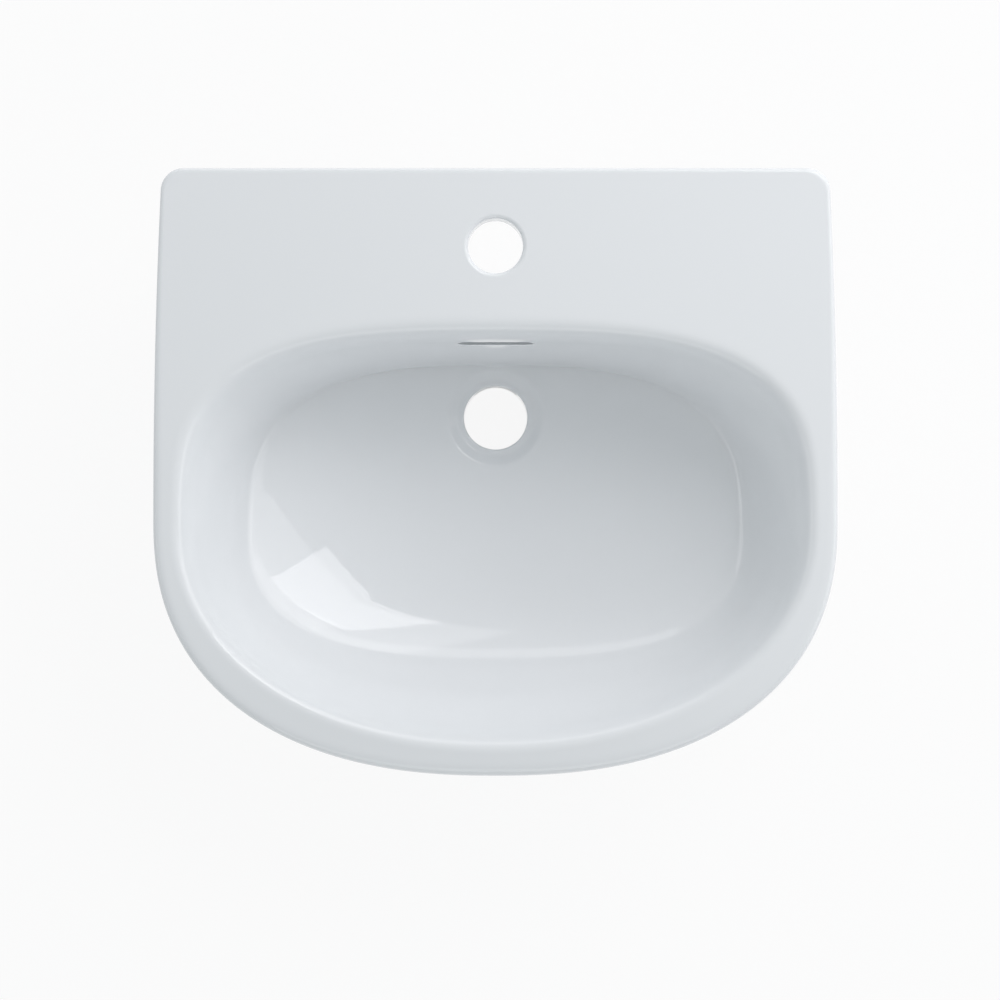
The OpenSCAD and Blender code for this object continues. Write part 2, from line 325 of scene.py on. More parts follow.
def noise(tree, scale, detail=3.0, roughness=0.5):
    """Noise in the object's own space, in features a metre."""
    place = add(tree, "ShaderNodeTexCoord")
    cloud = add(tree, "ShaderNodeTexNoise", set_Scale=scale, set_Detail=detail,
                set_Roughness=roughness)
    tree.links.new(place.outputs["Object"], cloud.inputs["Vector"])
    return cloud.outputs["Fac"]


def spread(tree, source, low, high, from_low=0.0, from_high=1.0):
    """Spread a value over a new range, with smooth ends."""
    node = add(tree, "ShaderNodeMapRange", interpolation_type="SMOOTHSTEP")
    tree.links.new(source, node.inputs["Value"])
    for socket, value in zip(("From Min", "From Max", "To Min", "To Max"),
                             (from_low, from_high, low, high)):
        node.inputs[socket].default_value = value
    return node.outputs["Result"]


def blend_colours(tree, factor, first, second):
    node = add(tree, "ShaderNodeMix", data_type="RGBA")
    tree.links.new(factor, node.inputs["Factor"])
    colours = [s for s in node.inputs if s.type == "RGBA"]
    for socket, value in zip(colours, (first, second)):
        if isinstance(value, bpy.types.NodeSocket):
            tree.links.new(value, socket)
        else:
            socket.default_value = (*value, 1)
    return next(s for s in node.outputs if s.type == "RGBA")


def calculate(tree, operation, first, second):
    node = add(tree, "ShaderNodeMath", operation=operation)
    for socket, value in zip(node.inputs, (first, second)):
        if isinstance(value, bpy.types.NodeSocket):
            tree.links.new(value, socket)
        else:
            socket.default_value = value
    return node.outputs[0]


def bump(tree, shader, height, distance, strength=1.0):
    node = add(tree, "ShaderNodeBump", set_Strength=strength, set_Distance=distance)
    tree.links.new(height, node.inputs["Height"])
    tree.links.new(node.outputs["Normal"], shader.inputs["Normal"])


def tinted(base, factor):
    return tuple(min(1.0, c * factor) for c in base)


def bare_clay(tree, settings):
    """1 on the foot that the basin was set down on, and low on the face against the wall."""
    edge, wobble = 0.0002, 0.0004
    foot_top, wall_top = 0.0022 - settings.foot_depth, 0.0120
    place = add(tree, "ShaderNodeTexCoord")
    parts = add(tree, "ShaderNodeSeparateXYZ")
    tree.links.new(place.outputs["Object"], parts.inputs[0])
    z = calculate(tree, "ADD", parts.outputs["Z"], spread(tree, noise(tree, 260, 4), -wobble, wobble))
    foot = spread(tree, z, 1, 0, foot_top - edge, foot_top + edge)
    low = spread(tree, z, 1, 0, wall_top - edge, wall_top + edge)
    wall_face = calculate(tree, "MULTIPLY", low, spread(tree, parts.outputs["Y"], 0, 1, -0.0010, -0.0006))
    return calculate(tree, "MAXIMUM", foot, wall_face)


def glaze_material(settings):
    """White glaze over clay, which is bare where the basin was wiped clean before it was fired."""
    material, tree, shader = new_material("white_glaze_look")
    glaze = tuple(settings.glaze_colour)
    clay = tuple(settings.clay_colour)
    mask = bare_clay(tree, settings)
    cloud = blend_colours(tree, noise(tree, 7, 2), tinted(glaze, 0.992), tinted(glaze, 1.006))
    grain = blend_colours(tree, noise(tree, 900, 5, 0.7), tinted(clay, 0.86), tinted(clay, 1.12))
    body = blend_colours(tree, mask, cloud, grain)
    tree.links.new(body, shader.inputs["Base Color"])
    gloss = spread(tree, noise(tree, 40, 3), settings.glaze_roughness * 0.8,
                   settings.glaze_roughness * 1.25)
    rough = add(tree, "ShaderNodeMix", data_type="FLOAT")
    tree.links.new(mask, rough.inputs[0])
    tree.links.new(gloss, rough.inputs[2])
    rough.inputs[3].default_value = 0.82
    tree.links.new(rough.outputs[0], shader.inputs["Roughness"])
    shader.inputs["IOR"].default_value = 1.52
    ripple = spread(tree, noise(tree, 55, 2, 0.4), 0, 0.5)
    clay_grain = calculate(tree, "MULTIPLY", mask, noise(tree, 1600, 4, 0.65))
    bump(tree, shader, calculate(tree, "ADD", ripple, clay_grain), 0.00006)
    return material


def zinc_material(settings):
    """Bright zinc plate: a satin metal with cloudy spangle, a fine grain and dull spots."""
    material, tree, shader = new_material("zinc_plate_look")
    zinc = tuple(settings.zinc_colour)
    spangle = blend_colours(tree, noise(tree, 420, 2), tinted(zinc, 0.90), tinted(zinc, 1.10))
    spots = spread(tree, noise(tree, 130, 5, 0.6), 0, 1, 0.58, 0.74)
    worn = blend_colours(tree, spots, spangle, (0.50, 0.485, 0.45))
    tree.links.new(worn, shader.inputs["Base Color"])
    shader.inputs["Metallic"].default_value = 1.0
    tree.links.new(spread(tree, noise(tree, 700, 4), 0.22, 0.42), shader.inputs["Roughness"])
    bump(tree, shader, noise(tree, 2200, 3), 0.00002)
    return material


def nylon_material(settings):
    """Natural nylon: milky, a little glossy, with a moulded grain."""
    material, tree, shader = new_material("nylon_look")
    nylon = tuple(settings.nylon_colour)
    milky = blend_colours(tree, noise(tree, 160, 3), tinted(nylon, 0.95), tinted(nylon, 1.04))
    tree.links.new(milky, shader.inputs["Base Color"])
    shader.inputs["Subsurface Weight"].default_value = 0.12
    shader.inputs["Subsurface Radius"].default_value = (0.001, 0.001, 0.0008)
    tree.links.new(spread(tree, noise(tree, 900, 3), 0.38, 0.52), shader.inputs["Roughness"])
    bump(tree, shader, noise(tree, 2600, 3), 0.00002)
    return material


def rubber_material(settings):
    """Black rubber: matt, with a dusty bloom and a fine moulded grain."""
    material, tree, shader = new_material("black_rubber_look")
    rubber = tuple(settings.rubber_colour)
    bloom = blend_colours(tree, spread(tree, noise(tree, 240, 4), 0, 1, 0.4, 0.8),
                          rubber, tinted(rubber, 1.9))
    tree.links.new(bloom, shader.inputs["Base Color"])
    tree.links.new(spread(tree, noise(tree, 1200, 3), 0.62, 0.85), shader.inputs["Roughness"])
    bump(tree, shader, noise(tree, 3000, 4), 0.00004)
    return material


def material_for(slot):
    """The look for a slot, which isn't the solids' own plain material of that name."""
    if f"{slot}_look" in bpy.data.materials:
        return bpy.data.materials[f"{slot}_look"]
    scene = bpy.context.scene
    if slot == "white_glaze":
        return glaze_material(scene.basin_ceramic)
    makers = {"zinc_plate": zinc_material, "nylon": nylon_material,
              "black_rubber": rubber_material}
    return makers[slot](scene.basin_fixings)


# The ceramic surface: columns around the outline, each over the corners of one section

BOWL_Y = -0.236
WASTE_Y = -0.161
TAP_Y = -0.051
FOOT_Y = -0.192


def ease(t):
    t = np.clip(t, 0, 1)
    return t * t * (3 - 2 * t)


def mix(a, b, t):
    t = np.asarray(t, float)
    if np.ndim(a) > 1 and t.ndim == 1:
        t = t[:, None]
    return a + (b - a) * t


def unit(v):
    size = np.linalg.norm(v, axis=-1, keepdims=True)
    return v / np.where(size < 1e-12, 1, size)


def around(th, rear, side, front):
    s = np.sin(th)
    return np.where(s > 0, mix(side, rear, ease(s)), mix(side, front, ease(-s)))


def oval(th, centre_y, half_w, rear, front, rear_power, front_power):
    s, c = np.sin(th), np.cos(th)
    reach = np.where(s > 0, rear, front)
    power = np.where(s > 0, rear_power, front_power)
    r = (np.abs(c / half_w) ** power + np.abs(s / reach) ** power) ** (-1 / power)
    return np.stack([r * c, centre_y + r * s], -1)


def rim_outline(shape):
    """The rim from above: a bowed front, sides that draw in a little, and a straight back."""
    count = shape.columns
    front, side, back = (round(count * f) for f in (0.45, 0.2, 0.245))
    corner = count - front - side - back
    half, widest, r = shape.rim_width / 2, shape.widest, shape.corner_radius

    def side_x(v):
        return half - (half - shape.back_width / 2) * (v / widest) ** 2

    side_end = widest - r
    corner_x = side_x(side_end) - r
    th = np.radians(-90 + 90 * np.arange(front) / front)
    points = [oval(th, -widest, half, 1, shape.rim_depth - widest, 2, 2.35)]
    v = side_end * np.arange(side) / side
    points.append(np.stack([side_x(v), v - widest], -1))
    a = np.radians(90 * np.arange(corner) / corner)
    points.append(np.stack([corner_x + r * np.cos(a), -r + r * np.sin(a)], -1))
    x = corner_x * (1 - np.arange(back + 1) / back)
    points.append(np.stack([x, 0 * x], -1))
    right = np.concatenate(points)
    left = right[-2:0:-1] * [-1, 1]
    return np.concatenate([right, left])


def back_wall_y(shape, z):
    """Place of the bowl's back wall on the centre line, at a height."""
    top, low = shape.deck_height, -shape.floor_depth
    return BOWL_Y + 0.126 - 0.014 * (top - z) / (top - low)


def dished(shape, points):
    """Lift the bowl's surface so that its floor rises from the waste ever more steeply."""
    reach = np.linalg.norm(points[..., :2] - np.array([0, WASTE_Y]), axis=-1)
    lift = shape.floor_rise * np.maximum(0, reach ** 3 - 0.034 ** 3) / 0.177 ** 3
    depth = (shape.deck_height - points[..., 2]) / (shape.deck_height + shape.floor_depth)
    lifted = points.copy()
    lifted[..., 2] += lift * np.clip(depth, 0, 1) ** 2
    return lifted


MOUTH_CORNER = 4


def section_corners(shape):
    """Each corner of the section: its place, the reach of its rounding back and on, the rows
    of its rounding, and the rows on the straight leg that follows."""
    p = rim_outline(shape)
    deck, floor, wall = shape.deck_height, -shape.floor_depth, shape.wall
    following, last = np.roll(p, -1, 0), np.roll(p, 1, 0)
    step = following - last
    out = unit(np.stack([step[:, 1], -step[:, 0]], -1))
    th = np.arctan2(p[:, 1] + shape.widest, p[:, 0])
    heading = np.stack([np.cos(th), np.sin(th)], -1)
    front = ease((0.120 + p[:, 1]) / (0.120 - 0.212))
    waste = np.array([0, WASTE_Y])
    bowl = np.array([0, BOWL_Y])

    def at(place, z):
        return np.concatenate([place, np.broadcast_to(z, len(p))[:, None]], 1)

    def outward(place):
        return unit(place - bowl)

    fold = oval(th, BOWL_Y, 0.177, 0.112, 0.109, 2.75, 2.6)
    fold_z = floor + 0.02 * (np.linalg.norm(fold - waste, axis=1) - 0.034)
    place = at(fold, fold_z)
    dish = at(waste + 0.034 * heading, floor)
    back = around(th, 0.0015, 0.016, 0.060)
    spare = np.linalg.norm(place - dish, axis=1) - back
    mouth = oval(th, BOWL_Y, 0.204, 0.126, 0.139, 3.2, 2.1)
    rim = at(p, deck - around(th, 0, 0, 0.005))
    shell = mouth + outward(mouth) * (wall - 0.0025)
    heel = at(fold + outward(fold) * mix(wall, wall + 0.003, front)[:, None],
              dished(shape, place)[:, 2] - wall - 0.001)
    lean = out * 0.001 * np.maximum(0, out[:, 1:]) ** 2
    skirt_low = at(p, -0.020)
    low = mix(at(p + lean, 0), skirt_low, front)
    skirt = mix(skirt_low, heel, 0.45)
    ceiling = floor - wall - 0.001

    def foot(inset):
        return oval(th, FOOT_Y, 0.104 - inset, 0.066 - inset, 0.066 - inset, 2.5, 2.5)

    none = np.zeros(len(p))

    def even(value):
        return none + value

    return [
        (at(waste + 0.016 * heading, floor - 0.004), none, none, 1, 3),
        (at(waste + 0.027 * heading, floor - 0.004), even(0.002), even(0.002), 7, 2),
        (dish, even(0.0022), np.minimum(0.004, 0.9 * spare), 9, 16),
        (place, back, around(th, 0.012, 0.056, 0.084), 36, 8),
        (at(mouth, deck), around(th, 0.028, 0.026, 0.024), around(th, 0.016, 0.011, 0.010), 32, 8),
        (rim, around(th, 0.005, 0.009, 0.012), around(th, 0.005, 0.009, 0.012), 18, 3),
        (low, mix(0.001, 0.015, front), mix(0.001, 0.024, front), 10, 4),
        (mix(at(shell, 0), skirt, front), mix(0.003, 0.005, front), mix(0.003, 0.005, front), 8, 10),
        (heel, around(th, 0.012, 0.020, 0.034), around(th, 0.006, 0.018, 0.040), 22, 8),
        (at(foot(-0.002), ceiling + 0.005), even(0.004), even(0.004), 7, 3),
        (at(foot(0), -shape.foot_depth), even(0.002), even(0.002), 6, 2),
        (at(foot(0.011), -shape.foot_depth), even(0.002), even(0.002), 6, 3),
        (at(foot(0.013), ceiling), none, none, 1, 0),
    ]


def rounded(last, corner, following):
    """A rounded corner as a curve of degree five, so that curvature runs smoothly into its legs."""
    place, back, on, rows, _ = corner
    if rows == 1:
        return place[None]
    start = place + unit(last - place) * back[:, None]
    end = place + unit(following - place) * on[:, None]
    holds = (start, mix(start, place, 0.4), mix(start, place, 0.8),
             mix(end, place, 0.8), mix(end, place, 0.4), end)
    t = np.linspace(0, 1, rows)[:, None, None]
    return sum(math.comb(5, k) * (1 - t) ** (5 - k) * t ** k * hold
               for k, hold in enumerate(holds))


def ceramic_shell(shape):
    corners = section_corners(shape)
    rows = []
    for k, corner in enumerate(corners):
        last, following = corners[max(k - 1, 0)], corners[min(k + 1, len(corners) - 1)]
        bend = rounded(last[0], corner, following[0])
        if rows:
            count = corners[k - 1][4]
            for j in range(1, count + 1):
                rows.append(mix(rows_end, bend[0], j / (count + 1)))
        rows.extend(bend)
        rows_end = bend[-1]
        if k == MOUTH_CORNER:
            rows = list(dished(shape, np.array(rows)))
    grid = np.array(rows)
    height, width = grid.shape[:2]
    index = np.arange(height * width).reshape(height, width)
    right = np.roll(index, -1, 1)
    faces = np.stack([index[:-1], index[1:], right[1:], right[:-1]], -1).reshape(-1, 4).tolist()
    faces.append(index[0].tolist())
    faces.append(index[-1][::-1].tolist())
    piece = new_piece("ceramic", mesh_of("ceramic", grid.reshape(-1, 3), faces))
    return piece


def duct_block(shape):
    floor = -shape.floor_depth
    ceiling = floor - shape.wall - 0.001
    wall_y = [back_wall_y(shape, z) for z in (0.004, 0, -0.116, -0.137, floor)]
    section = [
        (wall_y[0] + 0.005, 0.004), (wall_y[0] + 0.036, 0.004), (wall_y[1] + 0.033, -0.011),
        (wall_y[2] + 0.033, -0.130), (wall_y[3] + 0.027, -0.137), (-0.151, -0.137),
        (-0.151, ceiling + 0.004), (wall_y[4] + 0.005, floor - 0.003),
    ]
    block = prism("duct", section, -0.036, 0.036, lambda u, v, w: (w, u, v))
    soften_edges(block, 0.004, 4)
    return block


def duct_void(shape):
    ceiling = -shape.floor_depth - shape.wall - 0.001
    top = back_wall_y(shape, -0.003) + 0.012
    low = back_wall_y(shape, ceiling) + 0.012
    section = [(top, -0.003), (top + 0.012, -0.003), (low + 0.012, -0.126), (low - 0.006, -0.126),
               (low - 0.006, ceiling - 0.002), (low, ceiling - 0.002)]
    tall = prism("void", section, -0.027, 0.027, lambda u, v, w: (w, u, v))
    port = box_tool((-0.015, WASTE_Y + 0.005, -0.126), (0.015, low - 0.005, ceiling - 0.002))
    return tall, port


def box_tool(low, high):
    section = [(low[0], low[1]), (high[0], low[1]), (high[0], high[1]), (low[0], high[1])]
    return prism("box", section, low[2], high[2], lambda u, v, w: (u, v, w))


def overflow_tool(shape):
    """The overflow slot with its rounded edge, which lies on the slope of the bowl's back wall."""
    middle, half_w, half_h, edge = shape.deck_height - 0.032, 0.0255, 0.0062, 0.0006
    fall = math.tan(math.radians(50))
    sections = [(-0.006, edge + 0.0001), (-0.0001, edge)]
    for a in np.linspace(6, 90, 8):
        sections.append((edge * (1 - math.cos(math.radians(a))),
                         edge * (1 - math.sin(math.radians(a)))))
    sections.append((0.022, 0.0))
    points, steps = [], 24
    for depth, grow in sections:
        r = half_h + grow
        for side, start in ((1, -90), (-1, 90)):
            for k in range(steps + 1):
                a = math.radians(start + 180 * k / steps)
                x = side * (half_w - half_h) + r * math.cos(a)
                z = middle + r * math.sin(a)
                points.append((x, back_wall_y(shape, z) + depth, z - max(depth - edge, 0) * fall))
    count = 2 * (steps + 1)
    faces = [tuple(range(count))]
    for i in range(len(sections) - 1):
        for k in range(count):
            j = (k + 1) % count
            faces.append((i * count + k, (i + 1) * count + k, (i + 1) * count + j, i * count + j))
    faces.append(tuple(range((len(sections) - 1) * count, len(sections) * count))[::-1])
    tool = new_piece("slot", mesh_of("slot", points, faces))
    face_outwards(tool)
    return tool


def hole_tool(name, y, radius, lip, low, top):
    """A drill with a trumpet mouth, for a hole with a rounded edge in a level surface."""
    centre = (radius + lip, top - lip)
    lips = arc(centre, lip, 180, 90, 14)
    end = lips.pop()
    profile = [(0, low), (radius, low)] + lips
    profile += [(end[0] + 0.0006, end[1] + 0.00008), (end[0] + 0.0006, top + 0.004), (0, top + 0.004)]
    return turned(name, profile, (0, y, 0), 128)


class BASIN_OT_ceramic(bpy.types.Operator):
    """Build the glazed ceramic basin"""
    bl_idname = "basin.ceramic"
    bl_label = "Ceramic"

    def execute(self, context):
        shape = context.scene.basin_ceramic
        piece = ceramic_shell(shape)
        deck, foot = shape.deck_height, -shape.foot_depth
        combine(piece, [duct_block(shape)], "UNION")
        added = [turned("outlet", [(0, foot), (0.036, foot), (0.0374, foot + 0.0006),
                                   (0.038, foot + 0.002), (0.038, -0.108), (0, -0.108)],
                        (0, WASTE_Y, 0), 128)]
        for side in (-1, 1):
            added.append(turned("boss", [(0, -0.006), (0.013, -0.006), (0.014, -0.005),
                                         (0.014, 0.004), (0, 0.004)], (0.18 * side, -0.05, 0), 64))
        combine(piece, added, "UNION")
        half = shape.rim_width / 2
        cuts = [box_tool((-half, 0, -0.01), (half, 0.01, deck + 0.01)), overflow_tool(shape),
                hole_tool("tap", TAP_Y, 0.018, 0.003, -0.01, deck)]
        for side in (-1, 1):
            x = sorted((side * 0.216, side * 0.240))
            cuts.append(box_tool((x[0], -0.215, -0.06), (x[1], -0.115, 0)))
            cuts.append(turned("socket", [(0, -0.02), (0.005, -0.02), (0.005, 0.012), (0, 0.012)],
                               (0.18 * side, -0.05, 0), 48))
        combine(piece, cuts, "DIFFERENCE")
        tall, port = duct_void(shape)
        combine(piece, [tall], "DIFFERENCE")
        combine(piece, [port], "DIFFERENCE")
        waste = hole_tool("waste", WASTE_Y, 0.0225, 0.0015, foot - 0.01,
                          -shape.floor_depth - 0.004)
        combine(piece, [waste], "DIFFERENCE")
        finish_piece(piece, "basin", "basin", material_for("white_glaze"))
        return {"FINISHED"}


# The fixings, each drawn on its own axis and set under the back corner on its side

def fixing_place(side):
    low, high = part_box(f"{side}_stud")
    return Vector(((low.x + high.x) / 2, (low.y + high.y) / 2, 0))


def set_fixing(piece, side, kind, slot, body=None, angle=35):
    piece.data.transform(Matrix.Translation(fixing_place(side)))
    piece.name = f"{side}_{kind}_dressed"
    finish_piece(piece, body or f"{side}_{kind}", f"{side}_{kind}", material_for(slot), angle)


class BASIN_OT_inserts(bpy.types.Operator):
    """Build the two nylon inserts, with their ribs and flanges"""
    bl_idname = "basin.inserts"
    bl_label = "Inserts"

    def execute(self, context):
        for side in SIDES:
            low, high = (corner.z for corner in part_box(f"{side}_insert"))
            flange = low + 0.002
            profile = [(0.00305, low), (0.0077, low)] + arc((0.0075, low + 0.0005), 0.0005, -60, 60, 5)
            profile += arc((0.0075, flange - 0.0005), 0.0005, 0, 90, 4)
            z = flange + 0.0006
            profile.append((0.0046, flange))
            while z < high - 0.0015:
                profile += [(0.0046, z), (0.0049, z + 0.0004), (0.0049, z + 0.0007),
                            (0.0046, z + 0.0011)]
                z += 0.0018
            profile += [(0.0046, high - 0.0008), (0.0042, high), (0.00305, high)]
            piece = ring_of("insert", profile, steps=64)
            set_fixing(piece, side, "insert", "nylon", "basin")
        return {"FINISHED"}


def threaded_rod(name, radius, depth, pitch, low, high, steps=28, rows=6):
    """A rod with a real right-hand thread and chamfered ends."""
    turns = int((high - low) / pitch) + 3
    tooth = [(0.0, 0.0), (0.18, 0.0), (0.42, 1.0), (0.60, 1.0), (0.84, 0.0)]
    columns = []
    for k in range(steps):
        column = []
        for turn in range(-1, turns):
            for t, cut in tooth:
                z = low + pitch * (turn - 1 + t + k / steps)
                r = radius - depth * cut
                column.append((r, z))
        columns.append(column)
    count = len(columns[0])
    points, faces = [], []
    for k, column in enumerate(columns):
        a = 2 * math.pi * k / steps
        for r, z in column:
            z = min(max(z, low), high)
            r = min(r, radius - 0.0007 + min(z - low, high - z) * 0.9)
            points.append((r * math.cos(a), r * math.sin(a), z))
    for k in range(steps - 1):
        for i in range(count - 1):
            a, b = k * count + i, (k + 1) * count + i
            faces.append((a, b, b + 1, a + 1))
    shift = len(tooth)
    for i in range(count - 1 - shift):
        a, b = (steps - 1) * count + i, i + shift
        faces.append((a, b, b + 1, a + 1))
    edit = bmesh.new()
    found = [edit.verts.new(p) for p in points]
    for face in faces:
        edit.faces.new([found[i] for i in face])
    bmesh.ops.remove_doubles(edit, verts=edit.verts, dist=1e-6)
    loose = [v for v in edit.verts if not v.link_faces]
    bmesh.ops.delete(edit, geom=loose, context="VERTS")
    bmesh.ops.holes_fill(edit, edges=[e for e in edit.edges if e.is_boundary], sides=0)
    bmesh.ops.recalc_face_normals(edit, faces=edit.faces)
    mesh = bpy.data.meshes.new(name)
    edit.to_mesh(mesh)
    edit.free()
    return new_piece(name, mesh)


class BASIN_OT_studs(bpy.types.Operator):
    """Build the two threaded studs"""
    bl_idname = "basin.studs"
    bl_label = "Studs"

    def execute(self, context):
        fixings = context.scene.basin_fixings
        for side in SIDES:
            low, high = (corner.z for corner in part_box(f"{side}_stud"))
            piece = threaded_rod("stud", node_size(f"{side}_stud", 0) / 2, fixings.thread_depth,
                                 fixings.thread_pitch, low, high)
            set_fixing(piece, side, "stud", "zinc_plate", "basin", 30)
        return {"FINISHED"}


class BASIN_OT_washers(bpy.types.Operator):
    """Build the two stamped washers, with rolled edges on one side and small chamfers on the other"""
    bl_idname = "basin.washers"
    bl_label = "Washers"

    def execute(self, context):
        for side in SIDES:
            low, high = (corner.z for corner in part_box(f"{side}_washer"))
            r = node_size(f"{side}_washer", 0) / 2
            profile = [(0.0033, low + 0.0003), (0.0036, low), (r - 0.0002, low), (r, low + 0.0002)]
            profile += arc((r - 0.0007, high - 0.0007), 0.0007, 0, 90, 6)
            profile += arc((0.0033 + 0.0004, high - 0.0004), 0.0004, 90, 180, 4)
            piece = ring_of("washer", profile, steps=72)
            set_fixing(piece, side, "washer", "zinc_plate")
        return {"FINISHED"}


def rounded_plan(half_w, low, high, radius, heel=None, steps=8):
    """A plan with rounded corners. A heel radius makes the low end a half round."""
    points = []
    if heel:
        limit = math.degrees(math.acos(half_w / heel))
        points += [(heel * math.cos(math.radians(a)), heel * math.sin(math.radians(a)))
                   for a in np.linspace(-180 + limit, -limit, 4 * steps)]
    else:
        for x, start in ((-1, 180), (1, 270)):
            points += arc((x * (half_w - radius), low + radius), radius, start, start + 90, steps)
    for x, start in ((1, 0), (-1, 90)):
        points += arc((x * (half_w - radius), high - radius), radius, start, start + 90, steps)
    return points


class BASIN_OT_claws(bpy.types.Operator):
    """Build the two pressed claws: a plate, a step up with rounded bends, and a toe"""
    bl_idname = "basin.claws"
    bl_label = "Claws"

    def execute(self, context):
        for side in SIDES:
            low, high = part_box(f"{side}_claw")
            axis = fixing_place(side)
            piece = pressed_claw(low.z, high.z, axis.y - low.y, high.y - axis.y,
                                 (high.x - low.x) / 2)
            set_fixing(piece, side, "claw", "zinc_plate")
        return {"FINISHED"}


def pressed_claw(low, high, heel, toe, half_w, thick=0.003, hole=0.0033):
    """A strip is cut flat, then each of its points is carried round the two bends."""
    rise = high - low - thick
    bends = (0.0245, 0.0305)
    slope = math.atan2(rise, bends[1] - bends[0])
    r = thick * 0.95
    line = [(-heel, 0), (bends[0], 0), (bends[1], rise), (toe, rise)]
    reach = r * math.tan(slope / 2)
    path = [np.array(line[0])]
    for k in (1, 2):
        before, place, after = (np.array(p) for p in line[k - 1:k + 2])
        start = place + (before - place) / np.linalg.norm(before - place) * reach
        end = place + (after - place) / np.linalg.norm(after - place) * reach
        for t in np.linspace(0, 1, 9):
            path.append((1 - t) ** 2 * start + 2 * t * (1 - t) * place + t * t * end)
    path.append(np.array(line[3]))
    path = np.array(path)
    steps = np.linalg.norm(np.diff(path, axis=0), axis=1)
    along = np.concatenate([[0], np.cumsum(steps)]) - heel
    flat_toe = along[-1]
    outline = rounded_plan(half_w, None, flat_toe, 0.004, heel)
    edit = bmesh.new()
    ring = [edit.verts.new((x, y, 0)) for x, y in outline]
    inner = [edit.verts.new((hole * math.cos(a), hole * math.sin(a), 0))
             for a in np.linspace(0, 2 * math.pi, 41)[:-1]]
    for loop in (ring, inner):
        for a, b in zip(loop, loop[1:] + loop[:1]):
            edit.edges.new((a, b))
    bmesh.ops.triangle_fill(edit, use_beauty=True, edges=edit.edges[:])
    for s in along[1:-1]:
        bmesh.ops.bisect_plane(edit, geom=edit.verts[:] + edit.edges[:] + edit.faces[:],
                               plane_co=(0, float(s), 0), plane_no=(0, 1, 0), dist=1e-6)
    bmesh.ops.recalc_face_normals(edit, faces=edit.faces)
    if sum(face.normal.z for face in edit.faces) < 0:
        bmesh.ops.reverse_faces(edit, faces=edit.faces)
    made = bmesh.ops.extrude_face_region(edit, geom=edit.faces[:])
    lifted = [v for v in made["geom"] if isinstance(v, bmesh.types.BMVert)]
    for v in lifted:
        v.co.z = thick
    bmesh.ops.recalc_face_normals(edit, faces=edit.faces)
    rims = [e for e in edit.edges if len(e.link_faces) == 2
            and e.calc_face_angle(0) > math.radians(60)]
    bmesh.ops.bevel(edit, geom=rims, offset=0.00045, segments=3, profile=0.5,
                    affect="EDGES", clamp_overlap=True)
    slopes = np.gradient(path, along, axis=0)
    slopes /= np.linalg.norm(slopes, axis=1, keepdims=True)
    for v in edit.verts:
        s = v.co.y
        y = float(np.interp(s, along, path[:, 0]))
        z = float(np.interp(s, along, path[:, 1]))
        tangent = np.array([np.interp(s, along, slopes[:, 0]), np.interp(s, along, slopes[:, 1])])
        tangent /= np.linalg.norm(tangent)
        v.co.y = y - tangent[1] * v.co.z
        v.co.z = low + z + tangent[0] * v.co.z
    mesh = bpy.data.meshes.new("claw")
    edit.to_mesh(mesh)
    edit.free()
    return new_piece("claw", mesh)


class BASIN_OT_pads(bpy.types.Operator):
    """Build the two ribbed rubber pads on the claws"""
    bl_idname = "basin.pads"
    bl_label = "Pads"

    def execute(self, context):
        for side in SIDES:
            low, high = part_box(f"{side}_pad")
            axis = fixing_place(side)
            half_w, near, far = (high.x - low.x) / 2, low.y - axis.y, high.y - axis.y
            plan = rounded_plan(half_w, near, far, 0.002)
            piece = prism("pad", plan, low.z, high.z, lambda u, v, w: (u, v, w))
            soften_edges(piece, 0.0004, 3)
            grooves = []
            pitch = 0.0024
            middle = (near + far) / 2
            for k in range(-2, 3):
                y = middle + k * pitch
                section = [(y - 0.0005, high.z + 0.001), (y - 0.0003, high.z - 0.0005),
                           (y + 0.0003, high.z - 0.0005), (y + 0.0005, high.z + 0.001)]
                grooves.append(prism("groove", section, -half_w - 0.001, half_w + 0.001,
                                     lambda u, v, w: (w, u, v)))
            combine(piece, grooves, "DIFFERENCE")
            set_fixing(piece, side, "pad", "black_rubber", f"{side}_claw")
        return {"FINISHED"}


class BASIN_OT_wing_nuts(bpy.types.Operator):
    """Build the two cast wing nuts, with rounded wings that run into the hub"""
    bl_idname = "basin.wing_nuts"
    bl_label = "Wing nuts"

    def execute(self, context):
        for side in SIDES:
            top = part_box(f"{side}_wing_nut")[1].z
            piece = cast_wing_nut(top)
            set_fixing(piece, side, "wing_nut", "zinc_plate", angle=60)
        return {"FINISHED"}


def cast_wing_nut(top):
    hub = turned("wing_nut", [(0, -0.007), (0.0045, -0.007), (0.0055, 0), (0, 0)], (0, 0, top), 64)
    wing = [(0.0030, -0.0006), (0.0030, -0.0060), (0.0078, -0.0108), (0.0088, -0.0118)]
    wing += arc((0.0103, -0.0092), 0.0032, -110, 40, 14)
    wing += [(0.0092, -0.0017), (0.0066, -0.0012)]
    for turn in (1, -1):
        section = [(turn * u, v) for u, v in wing]
        blade = prism("wing", section, -0.0013, 0.0013, lambda u, v, w: (u, w, top + v))
        combine(hub, [blade], "UNION")
    remesh = hub.modifiers.new("cast", "REMESH")
    remesh.mode = "VOXEL"
    remesh.voxel_size = 0.00028
    smooth = hub.modifiers.new("smooth", "SMOOTH")
    smooth.factor = 0.5
    smooth.iterations = 5
    bake_modifiers(hub)
    bore = turned("bore", [(0, -0.012), (0.0033, -0.012), (0.0033, 0.002), (0, 0.002)],
                  (0, 0, top), 48)
    combine(hub, [bore], "DIFFERENCE")
    return hub


# The studio

def aim(thing, target):
    direction = Vector(target) - thing.location
    thing.rotation_euler = direction.to_track_quat("-Z", "Y").to_euler()


